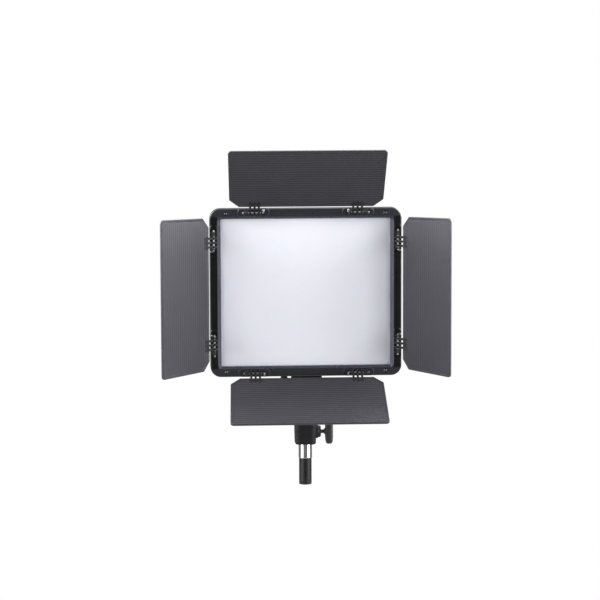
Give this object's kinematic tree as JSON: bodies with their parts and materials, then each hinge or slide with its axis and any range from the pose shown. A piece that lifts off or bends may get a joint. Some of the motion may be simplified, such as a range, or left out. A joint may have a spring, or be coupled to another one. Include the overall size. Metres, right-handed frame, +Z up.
{
  "type": "led panel light",
  "caption": "Rectangular LED panel light with a frosted front, ribbed barn-door leaves hinged to its frame, a T-handle tilt bracket and a receiver clamped on a stand spigot.",
  "frame": {"origin": "centre of the flat bottom end of the riser tube that carries the light", "axes": "+Z up along the riser tube, the light shines towards -Y, +X is to the right of someone facing its front"},
  "size_m": [0.3328, 0.1371, 0.4019],
  "materials": {
    "frame_plastic": "satin moulded black",
    "leaf_plastic": "fine-ribbed black with a satin sheen",
    "housing_plastic": "fine-grained black",
    "bracket": "glass-filled nylon, matt black",
    "lever_plastic": "matt black",
    "knob_plastic": "satin black",
    "opal": "frosted white",
    "reflector_white": "white",
    "led_board": "white-coated",
    "circuit_board": "green solder mask",
    "display": "glossy black",
    "panel_plastic": "satin black",
    "soft_plastic": "matt black",
    "tube_paint": "satin black powder coat",
    "chrome": "polished",
    "steel": "plain steel wire",
    "black_steel": "black oxide",
    "aluminium": "mill finish",
    "brass": "turned"
  },
  "bodies": {
    "stand": {"spigot": "chrome", "riser_tube": "tube_paint", "end_plug": "soft_plastic"},
    "receiver": {"receiver_body": "bracket", "pressure_pad": "brass"},
    "clamp_lever": {"clamp_lever": "lever_plastic", "clamp_stud": "steel"},
    "head": {"front_frame": "frame_plastic", "diffuser": "opal", "reflector_frame": "reflector_white", "led_board": "led_board", "heat_sink": "aluminium", "driver_board": "circuit_board", "rear_housing": "housing_plastic", "control_panel": "panel_plastic", "display_window": "display", "display_module": "circuit_board", "brightness_potentiometer": "steel", "colour_potentiometer": "steel", "switch_frame": "panel_plastic", "dc_inlet": "panel_plastic", "corner_screw_top_left": "black_steel", "corner_screw_top_right": "black_steel", "corner_screw_bottom_left": "black_steel", "corner_screw_bottom_right": "black_steel", "hinge_rod_top_left": "steel", "hinge_rod_top_right": "steel", "hinge_rod_right_upper": "steel", "hinge_rod_right_lower": "steel", "hinge_rod_bottom_right": "steel", "hinge_rod_bottom_left": "steel", "hinge_rod_left_lower": "steel", "hinge_rod_left_upper": "steel", "head_foot": "bracket", "foot_screw_front": "black_steel", "foot_screw_back": "black_steel", "tilt_bolt": "black_steel", "tilt_washer_left": "soft_plastic", "tilt_washer_right": "soft_plastic"},
    "tilt_lever": {"tilt_lever": "lever_plastic", "tilt_lever_insert": "brass"},
    "door_top": {"barn_door_top": "leaf_plastic"},
    "door_right": {"barn_door_right": "leaf_plastic"},
    "door_bottom": {"barn_door_bottom": "leaf_plastic"},
    "door_left": {"barn_door_left": "leaf_plastic"},
    "brightness_knob": {"brightness_knob": "knob_plastic"},
    "colour_knob": {"colour_knob": "knob_plastic"},
    "power_rocker": {"power_rocker": "knob_plastic"}
  },
  "joints": [
    {"name": "pan", "type": "hinge", "parent": "stand", "child": "receiver", "pos_m": [0, 0, 0.07], "axis": [0, 0, 1], "continuous": true},
    {"name": "tilt", "type": "hinge", "parent": "receiver", "child": "head", "pos_m": [0, 0, 0.1195], "axis": [1, 0, 0], "range_deg": [-90, 60]},
    {"name": "clamp_lever_turn", "type": "hinge", "parent": "receiver", "child": "clamp_lever", "pos_m": [0.0235, 0, 0.0631], "axis": [1, 0, 0], "range_deg": [0, 270]},
    {"name": "tilt_lever_turn", "type": "hinge", "parent": "head", "child": "tilt_lever", "pos_m": [-0.0166, 0, 0.1195], "axis": [-1, 0, 0], "range_deg": [0, 270]},
    {"name": "door_top_hinge", "type": "hinge", "parent": "head", "child": "door_top", "pos_m": [0, -0.03076, 0.3266], "axis": [1, 0, 0], "range_deg": [-41.9, 148.1]},
    {"name": "door_right_hinge", "type": "hinge", "parent": "head", "child": "door_right", "pos_m": [0.1075, -0.03076, 0.2325], "axis": [0, 0, -1], "range_deg": [-61.8, 118.2]},
    {"name": "door_bottom_hinge", "type": "hinge", "parent": "head", "child": "door_bottom", "pos_m": [0, -0.03076, 0.1384], "axis": [-1, 0, 0], "range_deg": [-66, 124]},
    {"name": "door_left_hinge", "type": "hinge", "parent": "head", "child": "door_left", "pos_m": [-0.1075, -0.03076, 0.2325], "axis": [0, 0, 1], "range_deg": [-55.5, 124.5]},
    {"name": "brightness_turn", "type": "hinge", "parent": "head", "child": "brightness_knob", "pos_m": [-0.058, 0.0213, 0.1825], "axis": [0, -1, 0], "range_deg": [0, 270]},
    {"name": "colour_turn", "type": "hinge", "parent": "head", "child": "colour_knob", "pos_m": [-0.032, 0.0213, 0.1825], "axis": [0, -1, 0], "range_deg": [0, 270]},
    {"name": "power_rocker_press", "type": "hinge", "parent": "head", "child": "power_rocker", "pos_m": [0.034, 0.0166, 0.1825], "axis": [1, 0, 0], "range_deg": [0, 14]}
  ]
}
